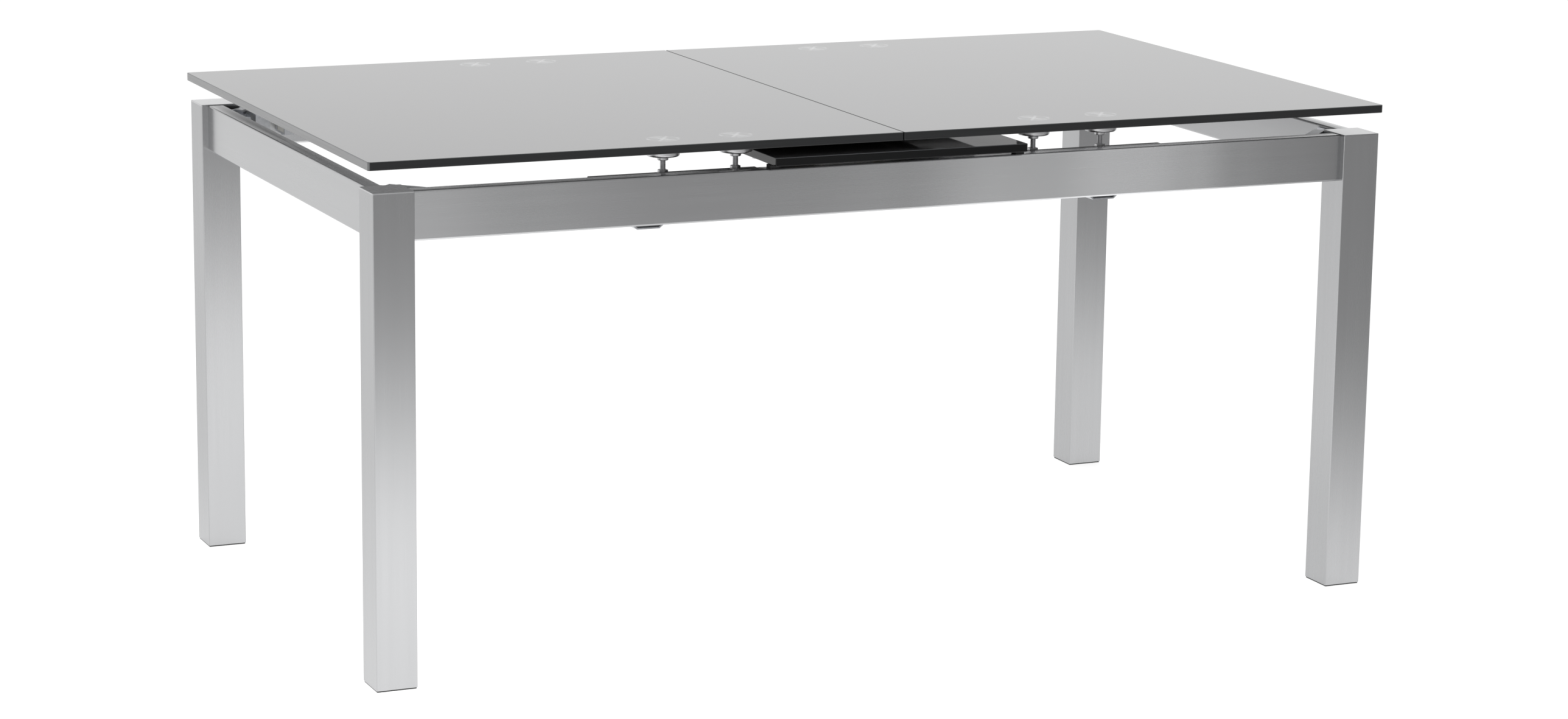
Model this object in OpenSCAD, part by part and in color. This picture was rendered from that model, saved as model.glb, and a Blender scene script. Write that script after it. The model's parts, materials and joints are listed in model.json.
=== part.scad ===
// Extendable dining table: a glass top in two sliding halves on a square steel
// frame, with a third glass leaf stored between them and raised on a lift frame.
// Origin: centre of the footprint on the floor. +X along the table, -Y front, +Z up.

/* [Table top] */
// Length of the closed top
top_l = 1600; // [1400:10:2000]
// Width of the top
top_w = 900; // [800:10:1100]
// Height of the glass surface
top_h = 745; // [680:5:900]
// Thickness of every glass pane
glass_t = 12; // [8:1:15]
// Gap between two panes where they meet
seam = 1.5; // [1:0.5:3]
// Radius of the top's outer corners
pane_r = 4; // [2:1:12]
// Radius of the corners where two panes meet
seam_r = 1.5; // [1:0.5:3]

/* [Legs] */
// Side of the square leg tube
leg_s = 60; // [50:1:75]
// Wall of the leg tube
leg_wall = 2; // [1.5:0.5:3]
// Edge radius of the leg tube
leg_r = 1.5; // [1:0.5:4]
// Leg face in from the end of the top
leg_in = 6; // [0:1:20]
// Clear height between the leg cap and the glass
leg_gap = 31; // [28:1:45]
// Thickness of the leg cap
cap_t = 2; // [2:0.5:4]
// Thickness of the floor glide
glide_t = 2; // [2:0.5:5]

/* [Aprons] */
// Height of the apron tube
apron_h = 70; // [60:1:90]
// Thickness of the apron tube
apron_t = 25; // [20:1:30]
// Wall of the apron tube
apron_wall = 2; // [1.5:0.5:3]
// Edge radius of the apron tube
apron_r = 3; // [2:0.5:6]
// Apron face in from the leg face
apron_in = 10; // [6:1:14]
// Thickness of the corner brace plate
brace_t = 3; // [2:0.5:4]
// Length of a brace foot along the apron
brace_foot = 24; // [20:1:32]

/* [Slides] */
// Travel of each half of the top
travel = 200; // [160:1:240]
// Width of the rail channel
rail_w = 44; // [36:1:54]
// Wall of the rail channel
rail_wall = 3; // [2.5:0.5:4]
// Height of the rail's outer wall
rail_h = 38; // [36:1:44]
// Height of the rail's inner wall
rail_lip = 22; // [20:1:24]
// Gap between the rail's end and the corner brace
rail_gap = 11; // [8:1:16]
// Bearing ball diameter
ball_d = 5; // [4:0.5:6]
// Gap between the rail wall and the carriage
slide_gap = 2; // [1.5:0.5:2.5]
// Length of the carriage past its inner stand-off
car_lead = 37; // [30:1:45]

/* [Stand-offs] */
// Diameter of the disc bonded under the glass
disc_d = 48; // [40:1:60]
// Thickness of that disc
disc_t = 12; // [8:1:14]
// Diameter of the boss under the disc
boss_d = 16; // [14:1:20]
// Stud diameter
stud_d = 8; // [6:1:10]
// Inner stand-off from the edge of the stored leaf
post_in = 37.75; // [30:0.25:50]
// Distance between the two stand-offs of one corner
post_pitch = 111; // [90:1:130]

/* [Lift] */
// Gap between the lifted leaf and the glass that it passes under
leaf_gap = 1; // [0.5:0.5:2]
// Rack tooth module
gear_m = 2; // [1.5:0.5:2]
// Pinion teeth
gear_n = 16; // [14:1:18]
// Guide post diameter
guide_d = 12; // [10:1:14]
// Leaf post diameter
leaf_post_d = 10; // [8:1:12]

/* [Hidden] */
$fn = 48;
// Diameter clearance between a shaft and the bush that it runs in
run = 0.15;
half_l = top_l / 2;
glass_z = top_h - glass_t;
leg_top = glass_z - leg_gap;
leg_x = half_l - leg_in;
leg_y = top_w / 2;
apron_top = leg_top - 1;
apron_z = apron_top - apron_h;
long_y = leg_y - apron_in - apron_t;
end_x = leg_x - apron_in - apron_t;
corner_x = leg_x - leg_s;
corner_y = leg_y - leg_s;

// The brace's outer face lies just inside the leg's inner corner
brace_in = 6;
brace_c = corner_x + corner_y - brace_in;
brace_x0 = brace_c - long_y;
brace_y0 = brace_c - end_x;

// The closed halves hide a leaf that fills the gap they open
leaf_w = 2 * travel - seam;
post_x1 = leaf_w / 2 + post_in;
post_x2 = post_x1 + post_pitch;

// Rail, carriage and stand-off chain
rail_y = long_y - rail_w / 2;
rail_top = apron_top - 11;
rail_z = rail_top - rail_h;
lip_z = rail_z + rail_lip;
car_top = rail_top + 5;
car_z = rail_z + rail_wall + 1;
car_half = rail_w / 2 - rail_wall - slide_gap;
ball_z = rail_z + 12;
disc_z = glass_z - disc_t;
boss_h = 6;
boss_z = disc_z - boss_h;
stud_up = 12;
stud_down = 15;
wall_in = long_y - rail_w;

// Rail length, and the carriage that stops short of its end at full travel
stop_l = 12;
stop_gap = 1;
rail_half = brace_x0 - brace_foot - rail_gap;
car_x = post_x1 - car_lead;
car_l = rail_half - stop_l - stop_gap - travel - car_x;

// Leaf, racks, ramps and lift frame
leaf_rest = 5;
leaf_z = apron_top + leaf_rest;
lift_1 = glass_z - leaf_z - glass_t - leaf_gap;
gear_r = gear_m * gear_n / 2;
rack_z = rail_z + 8;
rack_t = 8;
plate_t = 4;
rack_deep = 10;
plate_y = wall_in - 5 - plate_t;
pinion_y = plate_y - rack_deep - gear_r;
inner_plate_y = pinion_y - gear_r - rack_deep - plate_t;
arm_x = car_x + 25;
arm_w = 20;
arm_z = lip_z + 1;
arm_t = 6;
pin_in = 50;
pin_x = travel - pin_in;
pin_d = 6;
ramp_z = lip_z - 2;
slope = lift_1 / travel;
pin_z = ramp_z + pin_d / 2 * sqrt(1 + slope * slope) + 0.1;
bearer_x = 100;
bearer_w = 26;
bearer_z = apron_top - 17;
bearer_t = 16;
tie_t = 4;
tie_y = plate_y - 2 - tie_t;
guide_y = 285;
stretch_w = 24;
guide_wall = 3;
leaf_post_y = 150;
pad_t = leaf_rest - 0.1;

// Pinion seats
shelf_t = 4;
pinion_seat = rack_z - 8;
hub_h = 3;
journal_d = 8;
pin_foot_d = 6;

// Outriggers and stretchers
bar_x = 364;
bar_web = 34;
bar_wall = 2;
bar_drop = 16;
bar_flare = bar_web / 2 + bar_drop + 1;
bar_end = wall_in + 9;
bar_in = guide_y - stretch_w / 2 - 18;
bar_z = apron_z - bar_drop;
stretch_h = 16;

// Fasteners, and the play of their holes
bolt_play = 0.4;
screw_play = 0.2;
thread_play = 0.1;
brace_bolt_d = 6;
hanger_d = 8;
screw_d = 5;
bracket_t = 3;
arm_screw_d = 4;

STEEL = "#b9bbbd";
ZINC = "#9a9da0";
BLACK = "#1d1e20";
GLASS = "#2c2f31";
BRASS = "#b5a36a";
RUBBER = "#151515";
NYLON = "#bfbcb3";

// ---- shared shapes -------------------------------------------------------

// Rectangle with round corners, centred
module round_rect(w, h, r) {
    square([w - 2 * r, h], center = true);
    square([w, h - 2 * r], center = true);
    for (x = [-1, 1], y = [-1, 1])
        translate([x * (w / 2 - r), y * (h / 2 - r)]) circle(r);
}

// Tube with round edges, standing on the XY plane
module round_tube(w, h, r, wall, length) {
    linear_extrude(length) difference() {
        round_rect(w, h, r);
        round_rect(w - 2 * wall, h - 2 * wall, max(r - wall, 0.5));
    }
}

// Repeats a shape of the +X +Y corner at the corner named by two signs
module corner(sx, sy) {
    mirror([sx < 0 ? 1 : 0, 0, 0]) mirror([0, sy < 0 ? 1 : 0, 0]) children();
}

module each_corner() {
    for (sx = [-1, 1], sy = [-1, 1]) corner(sx, sy) children();
}

// The right half of the mechanism is the left half turned half round
module turned() {
    rotate([0, 0, 180]) children();
}

// Turns a shape made along +Z so that it points along +Y
module toward_y() {
    rotate([-90, 0, 0]) children();
}

module toward_x() {
    rotate([0, 90, 0]) children();
}

// Hexagon bar of a given width across flats
module hex(across, h) {
    cylinder(d = across / cos(30), h = h, $fn = 6);
}

// ---- legs and aprons -----------------------------------------------------

module at_leg() {
    translate([leg_x - leg_s / 2, leg_y - leg_s / 2, 0]) children();
}

hanger_zs = [apron_z + 22, apron_top - 18];

// Runs along the diagonal from inside the frame towards the leg, origin on the brace
module at_hangers() {
    for (z = hanger_zs)
        translate([brace_cx, brace_cy, z]) rotate([0, 0, 45]) toward_x() children();
}

module leg(sx, sy) {
    color(STEEL) corner(sx, sy) difference() {
        union() {
            at_leg() translate([0, 0, glide_t])
                round_tube(leg_s, leg_s, leg_r, leg_wall, leg_top - cap_t - glide_t);
            translate([corner_x + leg_wall, corner_y + leg_wall, apron_z])
                linear_extrude(apron_h - 5) polygon([[0, 0], [20, 0], [0, 20]]);
        }
        at_hangers() cylinder(d = hanger_d + 0.2, h = 60);
    }
}

module leg_front_left() { leg(-1, -1); }
module leg_front_right() { leg(1, -1); }
module leg_back_left() { leg(-1, 1); }
module leg_back_right() { leg(1, 1); }

module leg_caps() {
    color(STEEL) each_corner() at_leg() translate([0, 0, leg_top - cap_t])
        linear_extrude(cap_t) round_rect(leg_s, leg_s, leg_r);
}

module leg_glides() {
    plug = leg_s - 2 * leg_wall - 1;
    color(RUBBER) each_corner() at_leg() {
        linear_extrude(glide_t) round_rect(leg_s - 2, leg_s - 2, leg_r);
        translate([0, 0, glide_t]) linear_extrude(12) round_rect(plug, plug, 2);
    }
}

// Long apron: its tube runs along X between two legs
module apron_long() {
    difference() {
        translate([-corner_x, long_y + apron_t / 2, apron_z + apron_h / 2])
            rotate([0, 90, 0])
            round_tube(apron_h, apron_t, apron_r, apron_wall, 2 * corner_x);
        at_long_bolts() cylinder(d = brace_bolt_d + bolt_play, h = apron_wall + 1);
        at_rail_screws() cylinder(d = screw_d + screw_play, h = apron_wall + 1);
    }
}

module apron_end() {
    difference() {
        translate([end_x + apron_t / 2, corner_y, apron_z + apron_h / 2])
            rotate([90, 0, 0]) rotate([0, 0, 90])
            round_tube(apron_h, apron_t, apron_r, apron_wall, 2 * corner_y);
        for (s = [0, 1]) mirror([0, s, 0])
            at_end_bolts() cylinder(d = brace_bolt_d + bolt_play, h = apron_wall + 1);
    }
}

module apron_front() { color(STEEL) mirror([0, 1, 0]) apron_long(); }
module apron_back() { color(STEEL) apron_long(); }
module apron_left() { color(STEEL) mirror([1, 0, 0]) apron_end(); }
module apron_right() { color(STEEL) apron_end(); }

// ---- corner braces -------------------------------------------------------

brace_h = apron_h - 10;
brace_z = apron_z + 6;
bend = brace_t * tan(22.5);
brace_cx = (brace_x0 + end_x) / 2 - brace_t * sqrt(0.5);
brace_cy = (brace_y0 + long_y) / 2 - brace_t * sqrt(0.5);
foot_zs = [brace_z + 14, brace_z + brace_h - 14];
long_bolt_x = brace_x0 - brace_foot / 2 - 1;
end_bolt_y = brace_y0 - brace_foot / 2 - 1;

// Bolt places on the aprons' inner faces, along the outward direction
module at_long_bolts() {
    for (sx = [-1, 1], z = foot_zs)
        translate([sx * long_bolt_x, long_y, z]) toward_y() children();
}

module at_end_bolts() {
    for (z = foot_zs) translate([end_x, end_bolt_y, z]) toward_x() children();
}

module brace() {
    hole = brace_bolt_d + bolt_play;
    difference() {
        union() {
            translate([0, 0, brace_z]) linear_extrude(brace_h) polygon([
                [brace_x0 - brace_foot, long_y], [brace_x0, long_y], [end_x, brace_y0],
                [end_x, brace_y0 - brace_foot], [end_x - brace_t, brace_y0 - brace_foot],
                [end_x - brace_t, brace_y0 - bend], [brace_x0 - bend, long_y - brace_t],
                [brace_x0 - brace_foot, long_y - brace_t]]);
            // Folded top flange
            translate([brace_cx, brace_cy, brace_z + brace_h - brace_t])
                rotate([0, 0, 45]) translate([-14, -28, 0]) cube([14.5, 56, brace_t]);
        }
        for (z = foot_zs) {
            translate([long_bolt_x, long_y - brace_t - 1, z]) toward_y()
                cylinder(d = hole, h = brace_t + 2);
            translate([end_x - brace_t - 1, end_bolt_y, z]) toward_x()
                cylinder(d = hole, h = brace_t + 2);
        }
        at_hangers() translate([0, 0, -5]) cylinder(d = hanger_d + 0.6, h = 20);
    }
}

module corner_brace_front_left() { color(ZINC) corner(-1, -1) brace(); }
module corner_brace_front_right() { color(ZINC) corner(1, -1) brace(); }
module corner_brace_back_left() { color(ZINC) corner(-1, 1) brace(); }
module corner_brace_back_right() { color(ZINC) corner(1, 1) brace(); }

// Flanged hexagon bolt: its flange sits on the XY plane and its shank goes down +Z
module flange_bolt(d, shank) {
    cylinder(d = d, h = shank);
    translate([0, 0, -1.5]) cylinder(d = 2.2 * d, h = 1.5);
    translate([0, 0, -1.5 - 0.65 * d]) hex(1.67 * d, 0.65 * d);
}

module brace_bolts() {
    shank = brace_t + apron_wall + 6;
    color(ZINC) each_corner() for (z = foot_zs) {
        translate([long_bolt_x, long_y - brace_t, z]) toward_y()
            flange_bolt(brace_bolt_d, shank);
        translate([end_x - brace_t, end_bolt_y, z]) toward_x()
            flange_bolt(brace_bolt_d, shank);
    }
}

// Stud through the brace into the leg's inner corner, with a flanged nut on the brace
module hanger_bolts() {
    washer = 1.5;
    nut = 0.65 * hanger_d;
    seat = 0.05;
    color(ZINC) each_corner() at_hangers() {
        translate([0, 0, -14]) cylinder(d = hanger_d, h = 42);
        translate([0, 0, -washer - nut - seat]) difference() {
            union() {
                hex(1.625 * hanger_d, nut);
                translate([0, 0, nut]) cylinder(d = 2.1 * hanger_d, h = washer);
            }
            translate([0, 0, -1]) cylinder(d = hanger_d + thread_play, h = nut + washer + 2);
        }
    }
}

// ---- rails ---------------------------------------------------------------

rail_screw_in = 68;
rail_screw_xs = [for (k = [-5:2:5]) k * (rail_half - rail_screw_in) / 5];
rail_screw_z = rail_top - 7;

module at_rail_screws() {
    for (x = rail_screw_xs)
        translate([x, long_y, rail_screw_z]) toward_y() children();
}

// Countersunk screw with its flat face on the XY plane
module csk_screw(d, length) {
    cylinder(d = d, h = length);
    cylinder(d1 = 2 * d, d2 = d, h = d / 2);
}

module rail() {
    inner = rail_w - 2 * rail_wall;
    difference() {
        translate([-rail_half, wall_in, rail_z])
            cube([2 * rail_half, rail_w, rail_h]);
        translate([-rail_half - 1, wall_in + rail_wall, rail_z + rail_wall])
            cube([2 * rail_half + 2, inner, rail_h]);
        translate([-rail_half - 1, wall_in - 1, lip_z])
            cube([2 * rail_half + 2, rail_wall + 2, rail_h]);
        ball_grooves(2 * rail_half + 2, -rail_half - 1);
        translate([0, -rail_wall, 0]) at_rail_screws() csk_screw(screw_d + screw_play, 9);
        for (sx = [-1, 1]) at_bracket_screws(sx * bar_x)
            cylinder(d = screw_d + screw_play, h = rail_wall + 1);
        at_bracket_screws(0) cylinder(d = screw_d + screw_play, h = rail_wall + 1);
        for (sx = [-1, 1]) translate([sx * (rail_half - stop_l / 2), rail_y, rail_z - 1])
            cylinder(d = screw_d + screw_play, h = rail_wall + 2);
    }
}

// Straight grooves for the bearing balls on both sides of the carriage
module ball_grooves(length, x0) {
    for (s = [-1, 1])
        translate([x0, rail_y + s * (car_half + slide_gap / 2), ball_z]) toward_x()
            cylinder(d = ball_d + 0.2, h = length);
}

module rail_front() { color(ZINC) mirror([0, 1, 0]) rail(); }
module rail_back() { color(ZINC) rail(); }

// Screws through a bracket's flange into the rail's inner wall, pointing outward
module at_bracket_screws(x) {
    for (dx = [-10, 10])
        translate([x + dx, wall_in, rail_z + 5]) toward_y() children();
}

module rail_screws() {
    color(ZINC) for (s = [0, 1]) mirror([0, s, 0]) {
        translate([0, -rail_wall, 0]) at_rail_screws()
            csk_screw(screw_d, rail_wall + apron_wall + 3);
        for (x = [-bar_x, 0, bar_x]) translate([0, -bracket_t, 0]) at_bracket_screws(x)
            csk_screw(screw_d, bracket_t + rail_wall);
        for (sx = [-1, 1]) translate([sx * (rail_half - stop_l / 2), rail_y, rail_z - 2.5]) {
            cylinder(d = 9, h = 2.5);
            cylinder(d = screw_d, h = 12);
        }
    }
}

module rail_end_stops() {
    color(NYLON) each_corner()
        difference() {
            translate([rail_half - stop_l, rail_y - car_half, rail_z + rail_wall])
                cube([stop_l, 2 * car_half, 15]);
            translate([rail_half - stop_l / 2, rail_y, rail_z])
                cylinder(d = screw_d + screw_play, h = 10);
        }
}

// ---- outriggers, stretchers and guide posts ------------------------------

// Short hat sections under both rails: bottom web, flared sides and two flanges
module outriggers(sx) {
    top = bar_drop;
    web = bar_web / 2;
    flare = bar_flare;
    flange = flare + 12;
    color(ZINC) for (s = [0, 1]) mirror([0, s, 0])
        translate([sx * bar_x, bar_end, bar_z]) rotate([90, 0, 0])
        linear_extrude(bar_end - bar_in) polygon([
            [-flange, top], [-flange, top - bar_wall], [-flare, top - bar_wall], [-web, 0],
            [web, 0], [flare, top - bar_wall], [flange, top - bar_wall], [flange, top],
            [flare - 1, top], [web - 1, bar_wall], [-web + 1, bar_wall], [-flare + 1, top]]);
}

module outriggers_left() { outriggers(-1); }
module outriggers_right() { outriggers(1); }

// Angle bracket: lower leg on the outrigger's flanges, upper leg on the rail's inner wall
module outrigger_bracket() {
    foot = 24;
    half = bar_flare + 10;
    translate([-half, wall_in - foot, apron_z]) cube([2 * half, foot, bracket_t]);
    translate([-20, wall_in - bracket_t, apron_z])
        cube([40, bracket_t, rail_z + 12 - apron_z]);
}

// Angle bracket under a pinion, bored for the pinion's pin
module pinion_bracket() {
    inner = pinion_y - 12;
    difference() {
        union() {
            translate([-20, inner, pinion_seat]) cube([40, wall_in - inner, shelf_t]);
            translate([-20, wall_in - bracket_t, pinion_seat]) cube([40, bracket_t, 16]);
        }
        translate([0, pinion_y, pinion_seat - 1]) cylinder(d = pin_foot_d, h = shelf_t + 2);
    }
}

module rail_brackets() {
    color(ZINC) for (s = [0, 1]) mirror([0, s, 0]) difference() {
        union() {
            for (sx = [-1, 1]) translate([sx * bar_x, 0, 0]) outrigger_bracket();
            pinion_bracket();
        }
        for (x = [-bar_x, 0, bar_x]) translate([0, -bracket_t, 0]) at_bracket_screws(x)
            csk_screw(screw_d + screw_play, bracket_t + 1);
    }
}

module stretcher() {
    reach = bar_x + bar_flare + 6;
    difference() {
        translate([-reach, guide_y - stretch_w / 2, apron_z])
            cube([2 * reach, stretch_w, stretch_h]);
        translate([-reach - 1, guide_y - stretch_w / 2 + 2, apron_z + 2])
            cube([2 * reach + 2, stretch_w - 4, stretch_h - 4]);
        for (sx = [-1, 1]) translate([sx * bearer_x, guide_y, apron_z + 5])
            cylinder(d = guide_d + 0.1, h = stretch_h);
    }
}

module stretcher_front() { color(ZINC) mirror([0, 1, 0]) stretcher(); }
module stretcher_back() { color(ZINC) stretcher(); }

module guide_posts() {
    foot_z = apron_z + 2;
    color(STEEL) each_corner() translate([bearer_x, guide_y, foot_z])
        cylinder(d = guide_d, h = bearer_z + bearer_t - foot_z);
}

module leaf_rest_pads() {
    color(RUBBER) each_corner()
        translate([leaf_w / 2 - 12, long_y + 5, apron_top]) cube([14, 16, pad_t]);
}

// ---- racks and pinions ---------------------------------------------------

pressure = 20;
tooth_play = 0.2;

// One flank point of the involute at radius r, as an angle past the tooth's centre line
function inv(r, base) = let (a = acos(base / r)) tan(a) * 180 / PI - a;
function flank(r, base, pitch_r) =
    90 / gear_n - tooth_play * 90 / (PI * pitch_r) + inv(pitch_r, base) - inv(r, base);

module pinion_outline() {
    base = gear_r * cos(pressure);
    tip = gear_r + gear_m - 0.1;
    root = gear_r - 1.25 * gear_m;
    steps = [for (i = [0:5]) base + 0.01 + (tip - base - 0.01) * i / 5];
    side = [for (r = steps) [r, flank(r, base, gear_r)]];
    root_a = flank(base + 0.01, base, gear_r);
    points = [for (k = [0:gear_n - 1]) let (a = k * 360 / gear_n) each concat(
        [[root * cos(a - root_a), root * sin(a - root_a)]],
        [for (p = side) [p[0] * cos(a - p[1]), p[0] * sin(a - p[1])]],
        [for (i = [5:-1:0]) let (p = side[i]) [p[0] * cos(a + p[1]), p[0] * sin(a + p[1])]],
        [[root * cos(a + root_a), root * sin(a + root_a)]])];
    polygon(points);
}

module pinion() {
    translate([0, pinion_y, rack_z]) difference() {
        union() {
            linear_extrude(rack_t) pinion_outline();
            cylinder(d = 2 * journal_d, h = rack_t + hub_h);
        }
        translate([0, 0, -1]) cylinder(d = journal_d + run, h = rack_t + hub_h + 2);
    }
}

module pinion_front() { color(BRASS) mirror([0, 1, 0]) pinion(); }
module pinion_back() { color(BRASS) pinion(); }

// Shouldered pin: riveted foot, washer shoulder, journal and head
module pinion_pins() {
    shoulder = rack_z - pinion_seat - shelf_t;
    hub = rack_t + hub_h;
    color(STEEL) for (s = [0, 1]) mirror([0, s, 0])
        translate([0, pinion_y, pinion_seat]) {
            translate([0, 0, -2]) cylinder(d = 11, h = 2);
            translate([0, 0, -1]) cylinder(d = pin_foot_d, h = shelf_t + 2);
            translate([0, 0, shelf_t]) cylinder(d = 14, h = shoulder - 0.1);
            translate([0, 0, shelf_t]) cylinder(d = journal_d, h = shoulder + hub + 1);
            translate([0, 0, shelf_t + shoulder + hub + 0.2]) cylinder(d = 13, h = 2);
        }
}

// Rack of the left half at the front, with teeth towards +Y. Its first gap is at x = 0
module rack_bar() {
    pitch = PI * gear_m;
    slope_w = tan(pressure);
    head = 0.9 * gear_m;
    foot = 1.25 * gear_m;
    half_tooth = pitch / 4 - tooth_play / 2;
    first = -4;
    last = ceil((travel + 12) / pitch);
    x0 = first * pitch;
    x1 = last * pitch;
    teeth = [for (i = [first:last - 1]) let (x = (i + 0.5) * pitch) each [
        [x - half_tooth - foot * slope_w, -foot], [x - half_tooth + head * slope_w, head],
        [x + half_tooth - head * slope_w, head], [x + half_tooth + foot * slope_w, -foot]]];
    translate([0, -pinion_y - gear_r, rack_z]) linear_extrude(rack_t)
        polygon(concat([[x0, -rack_deep], [x0, -foot]], teeth,
            [[x1, -foot], [x1, -rack_deep]]));
}

module racks() {
    rack_bar();
    // At the back the rack of the left half runs on the pinion's inner side
    translate([0, 2 * pinion_y, 0]) rack_bar();
}

module racks_left() { color(BRASS) racks(); }
module racks_right() { color(BRASS) turned() racks(); }

// Plate with the ramp: x runs along the table, z up
module ramp_outline() {
    far = pin_in + 15;
    polygon([[-arm_x - arm_w, rack_z], [far, rack_z],
        [far, ramp_z + lift_1], [pin_in, ramp_z + lift_1], [-pin_x, ramp_z],
        [-pin_x - 4, ramp_z - 1], [-pin_x - 25, ramp_z - 1], [-arm_x + 8, arm_z + arm_t],
        [-arm_x - arm_w, arm_z + arm_t]]);
}

// Ramp plate at distance y from the middle, its arm reaching over the rail's lip
module ramp_plate(y) {
    flange = 3;
    side = rail_y - car_half - flange;
    translate([0, y + plate_t, 0]) rotate([90, 0, 0]) linear_extrude(plate_t)
        ramp_outline();
    translate([-arm_x - arm_w, y, arm_z]) cube([arm_w, side - y + 1, arm_t]);
    difference() {
        translate([-arm_x - arm_w - 10, side, arm_z]) cube([arm_w + 20, flange, 14]);
        at_arm_screws() cylinder(d = arm_screw_d + screw_play, h = 10);
    }
}

module at_arm_screws() {
    for (x = [-arm_x - arm_w - 5, -arm_x + 5])
        translate([x, rail_y - car_half - 4, arm_z + 10]) toward_y() children();
}

// Cap screws that hold the ramp plates' flanges to the carriages
module arm_screws() {
    for (s = [0, 1]) mirror([0, s, 0]) at_arm_screws() {
        translate([0, 0, 1]) cylinder(d = arm_screw_d, h = 12);
        translate([0, 0, -1]) cylinder(d = 7, h = 2);
    }
}

module arm_screws_left() { color(ZINC) arm_screws(); }
module arm_screws_right() { color(ZINC) turned() arm_screws(); }

module ramp_plates() {
    mirror([0, 1, 0]) ramp_plate(plate_y);
    ramp_plate(inner_plate_y);
}

module ramp_plates_left() { color(BLACK) ramp_plates(); }
module ramp_plates_right() { color(BLACK) turned() ramp_plates(); }

// ---- sliding halves ------------------------------------------------------

// The left half: its outer corners are rounder than those at the seam
module glass_half() {
    w = half_l - seam / 2;
    translate([-seam / 2 - w / 2, 0, glass_z]) linear_extrude(glass_t) {
        round_rect(w, top_w, pane_r);
        translate([pane_r / 2, 0]) round_rect(w - pane_r, top_w, seam_r);
    }
}

module glass_left() { color(GLASS) glass_half(); }
module glass_right() { color(GLASS) turned() glass_half(); }

module at_posts() {
    for (x = [-post_x2, -post_x1], sy = [-1, 1]) translate([x, sy * rail_y, 0]) children();
}

// Disc with a rounded lower rim and a boss, bored for the stud
module glass_disc() {
    rim = 3;
    difference() {
        rotate_extrude() {
            translate([0, disc_z + rim]) square([disc_d / 2, disc_t - rim]);
            translate([0, disc_z]) square([disc_d / 2 - rim, rim]);
            translate([disc_d / 2 - rim, disc_z + rim]) intersection() {
                circle(rim);
                translate([0, -rim]) square(rim);
            }
            translate([0, boss_z]) square([boss_d / 2, disc_z - boss_z]);
        }
        translate([0, 0, boss_z - 1]) cylinder(d = stud_d, h = stud_up + 3);
    }
}

module glass_discs() { at_posts() glass_disc(); }
module glass_discs_left() { color(STEEL) glass_discs(); }
module glass_discs_right() { color(STEEL) turned() glass_discs(); }

module studs() {
    at_posts() translate([0, 0, car_top - stud_down])
        cylinder(d = stud_d, h = boss_z + stud_up - car_top + stud_down);
}

module studs_left() { color(STEEL) studs(); }
module studs_right() { color(STEEL) turned() studs(); }

module jam_nuts() {
    at_posts() translate([0, 0, car_top]) difference() {
        hex(13, 6.5);
        translate([0, 0, -1]) cylinder(d = stud_d, h = 9);
    }
}

module jam_nuts_left() { color(STEEL) jam_nuts(); }
module jam_nuts_right() { color(STEEL) turned() jam_nuts(); }

// Extruded bar with ball grooves, a weight-saving core and tapped holes
module carriage() {
    difference() {
        translate([-car_x - car_l, rail_y - car_half, car_z])
            cube([car_l, 2 * car_half, car_top - car_z]);
        ball_grooves(car_l + 2, -car_x - car_l - 1);
        translate([-car_x - car_l - 1, rail_y - 9, car_z + 4]) cube([car_l + 2, 18, 18]);
        for (x = [-post_x2, -post_x1]) translate([x, rail_y, car_top - stud_down])
            cylinder(d = stud_d, h = stud_down + 5);
        at_arm_screws() cylinder(d = arm_screw_d, h = 16);
    }
}

module carriage_front_left() { color(BLACK) mirror([0, 1, 0]) carriage(); }
module carriage_back_left() { color(BLACK) carriage(); }
module carriage_front_right() { color(BLACK) turned() carriage(); }
module carriage_back_right() { color(BLACK) mirror([1, 0, 0]) carriage(); }

// ---- ball cages ----------------------------------------------------------

cage_end = 20;
cage_back = 45;
cage_l = car_l - cage_end - cage_back;
cage_balls = 6;

module at_balls() {
    pitch = (cage_l - 20) / (cage_balls - 1);
    for (i = [0:cage_balls - 1], sy = [-1, 1], s = [-1, 1])
        translate([-car_x - car_l + cage_end + 10 + i * pitch,
            sy * (rail_y + s * (car_half + slide_gap / 2)), ball_z]) children();
}

module cages() {
    difference() {
        for (sy = [-1, 1], s = [-1, 1])
            translate([-car_x - car_l + cage_end,
                sy * (rail_y + s * (car_half + slide_gap / 2)) - 0.5, ball_z - 5])
                cube([cage_l, 1, 10]);
        at_balls() rotate([90, 0, 0]) cylinder(d = ball_d + 0.2, h = 4, center = true);
    }
}

module balls() { at_balls() sphere(d = ball_d, $fn = 24); }
module ball_cages_left() { color(NYLON) cages(); }
module ball_cages_right() { color(NYLON) turned() cages(); }
module balls_left() { color(STEEL) balls(); }
module balls_right() { color(STEEL) turned() balls(); }

// ---- lift frame ----------------------------------------------------------

bush_d = guide_d + 2 * guide_wall;
sleeve_d = leaf_post_d + 6;

module lift_bearer() {
    difference() {
        translate([bearer_x - bearer_w / 2, -tie_y, bearer_z])
            cube([bearer_w, 2 * tie_y, bearer_t]);
        translate([bearer_x - bearer_w / 2 + 2, -tie_y - 1, bearer_z + 2])
            cube([bearer_w - 4, 2 * tie_y + 2, bearer_t - 4]);
        for (s = [-1, 1]) {
            translate([bearer_x, s * guide_y, bearer_z - 1])
                cylinder(d = bush_d, h = bearer_t + 2);
            translate([bearer_x, s * leaf_post_y, bearer_z - 1])
                cylinder(d = sleeve_d, h = bearer_t + 2);
        }
    }
}

module lift_bearer_left() { color(BLACK) turned() lift_bearer(); }
module lift_bearer_right() { color(BLACK) lift_bearer(); }

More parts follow.
